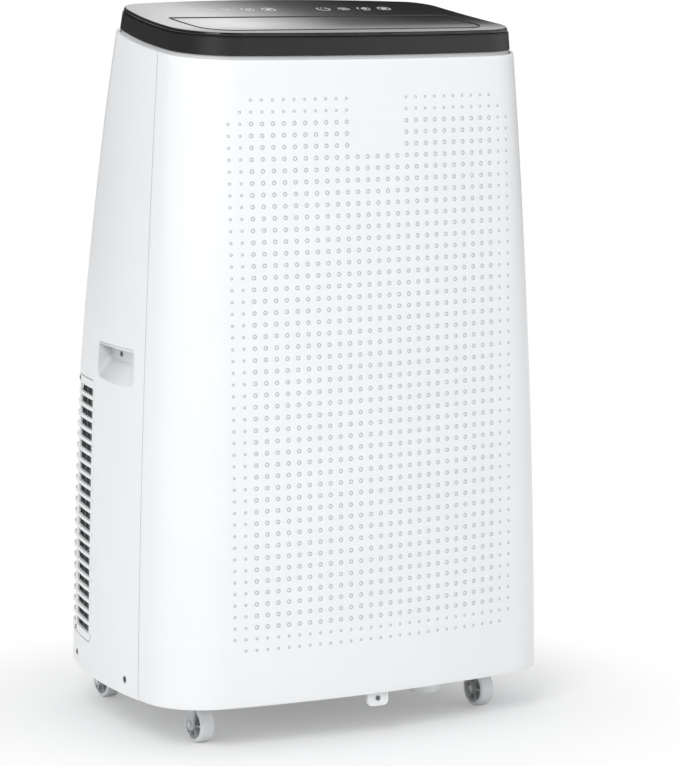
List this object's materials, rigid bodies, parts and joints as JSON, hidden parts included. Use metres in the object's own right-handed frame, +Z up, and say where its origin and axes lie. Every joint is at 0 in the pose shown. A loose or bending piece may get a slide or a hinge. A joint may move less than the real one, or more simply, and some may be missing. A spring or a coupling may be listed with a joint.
{
  "type": "portable air conditioner",
  "caption": "Portable room air conditioner on swivel casters: bowed front shell, leaning vented back, round exhaust collar, side handles and a top deck with an opening louvre flap.",
  "frame": {"origin": "floor under the centre of the overall box", "axes": "+X right seen from the front, -Y the front, +Z up"},
  "size_m": [0.4426, 0.3492, 0.7233],
  "materials": {
    "white_shell": "satin white",
    "pale_grey": "satin light grey",
    "caster_grey": "light grey",
    "black_satin": "satin black",
    "black_gloss": "gloss black",
    "duct_black": "matt dark grey",
    "filter_grey": "matt grey",
    "motor_steel": "zinc",
    "screw_steel": "bright",
    "rubber_grey": "matt",
    "coil_aluminium": "bare",
    "compressor_black": "semi-gloss black",
    "copper_line": "bare copper colour",
    "box_zinc": "zinc",
    "board_green": "board"
  },
  "bodies": {
    "housing": {"accumulator": "compressor_black", "base_tray": "pale_grey", "compressor": "compressor_black", "compressor_grommets": "rubber_grey", "condenser_coil": "coil_aluminium", "control_board": "board_green", "cord_gland": "rubber_grey", "discharge_line": "copper_line", "drip_tray": "duct_black", "electrical_box": "box_zinc", "evaporator_coil": "coil_aluminium", "exhaust_collar": "white_shell", "exhaust_plenum": "duct_black", "flap_motor": "motor_steel", "front_panel": "white_shell", "handle_cup_left": "white_shell", "handle_cup_right": "white_shell", "housing_screws": "screw_steel", "liquid_line": "copper_line", "lower_filter": "filter_grey", "lower_grille": "white_shell", "lower_motor": "motor_steel", "lower_scroll": "duct_black", "lug_screw": "screw_steel", "mid_shelf": "duct_black", "neck_frame": "pale_grey", "outlet_duct": "duct_black", "rear_housing": "white_shell", "suction_line": "copper_line", "sump_cup": "pale_grey", "top_band": "black_satin", "top_panel": "black_gloss", "upper_motor": "motor_steel", "upper_scroll": "duct_black"},
    "flap": {"outlet_flap": "black_gloss"},
    "crank": {"flap_crank": "pale_grey"},
    "link": {"flap_link": "pale_grey"},
    "upper_rotor": {"upper_fan": "duct_black"},
    "lower_rotor": {"lower_fan": "duct_black"},
    "intake_cover": {"upper_grille": "white_shell", "upper_filter": "filter_grey"},
    "drain_plug": {"drain_cap": "rubber_grey"},
    "caster_front_left": {"fork_front_left": "caster_grey", "axle_front_left": "screw_steel"},
    "roller_front_left": {"wheel_front_left": "caster_grey"},
    "caster_front_right": {"fork_front_right": "caster_grey", "axle_front_right": "screw_steel"},
    "roller_front_right": {"wheel_front_right": "caster_grey"},
    "caster_rear_left": {"fork_rear_left": "caster_grey", "axle_rear_left": "screw_steel"},
    "roller_rear_left": {"wheel_rear_left": "caster_grey"},
    "caster_rear_right": {"fork_rear_right": "caster_grey", "axle_rear_right": "screw_steel"},
    "roller_rear_right": {"wheel_rear_right": "caster_grey"}
  },
  "joints": [
    {"name": "flap_hinge", "type": "hinge", "parent": "housing", "child": "flap", "pos_m": [0, -0.04, 0.70511], "axis": [-1, 0, 0], "range_deg": [0, 72]},
    {"name": "crank_turn", "type": "hinge", "parent": "housing", "child": "crank", "pos_m": [-0.15, 0.018, 0.69211], "axis": [-1, 0, 0], "range_deg": [0, 72]},
    {"name": "link_turn", "type": "hinge", "parent": "crank", "child": "link", "pos_m": [-0.148, 0.018, 0.67011], "axis": [-1, 0, 0], "range_deg": [-72, 0]},
    {"name": "upper_fan_spin", "type": "hinge", "parent": "housing", "child": "upper_rotor", "pos_m": [0, -0.092, 0.525], "axis": [0, 1, 0], "continuous": true},
    {"name": "lower_fan_spin", "type": "hinge", "parent": "housing", "child": "lower_rotor", "pos_m": [-0.052, 0.062, 0.205], "axis": [0, 1, 0], "continuous": true},
    {"name": "intake_pull", "type": "slide", "parent": "housing", "child": "intake_cover", "axis": [0, 1, 0], "range_m": [0, 0.09]},
    {"name": "drain_pull", "type": "slide", "parent": "housing", "child": "drain_plug", "axis": [0, 1, 0], "range_m": [0, 0.04]},
    {"name": "swivel_front_left", "type": "hinge", "parent": "housing", "child": "caster_front_left", "pos_m": [-0.1638, -0.0888, 0.06], "axis": [0, 0, 1], "continuous": true},
    {"name": "roll_front_left", "type": "hinge", "parent": "caster_front_left", "child": "roller_front_left", "pos_m": [-0.1638, -0.1008, 0.018], "axis": [1, 0, 0], "continuous": true},
    {"name": "swivel_front_right", "type": "hinge", "parent": "housing", "child": "caster_front_right", "pos_m": [0.1638, -0.0888, 0.06], "axis": [0, 0, 1], "continuous": true},
    {"name": "roll_front_right", "type": "hinge", "parent": "caster_front_right", "child": "roller_front_right", "pos_m": [0.1638, -0.1008, 0.018], "axis": [1, 0, 0], "continuous": true},
    {"name": "swivel_rear_left", "type": "hinge", "parent": "housing", "child": "caster_rear_left", "pos_m": [-0.1473, 0.12, 0.06], "axis": [0, 0, 1], "continuous": true},
    {"name": "roll_rear_left", "type": "hinge", "parent": "caster_rear_left", "child": "roller_rear_left", "pos_m": [-0.1473, 0.132, 0.018], "axis": [1, 0, 0], "continuous": true},
    {"name": "swivel_rear_right", "type": "hinge", "parent": "housing", "child": "caster_rear_right", "pos_m": [0.1473, 0.12, 0.06], "axis": [0, 0, 1], "continuous": true},
    {"name": "roll_rear_right", "type": "hinge", "parent": "caster_rear_right", "child": "roller_rear_right", "pos_m": [0.1473, 0.132, 0.018], "axis": [1, 0, 0], "continuous": true}
  ],
  "couplings": [
    {"joint": "crank_turn", "follows": "flap_hinge", "ratio": 1},
    {"joint": "link_turn", "follows": "flap_hinge", "ratio": -1}
  ]
}
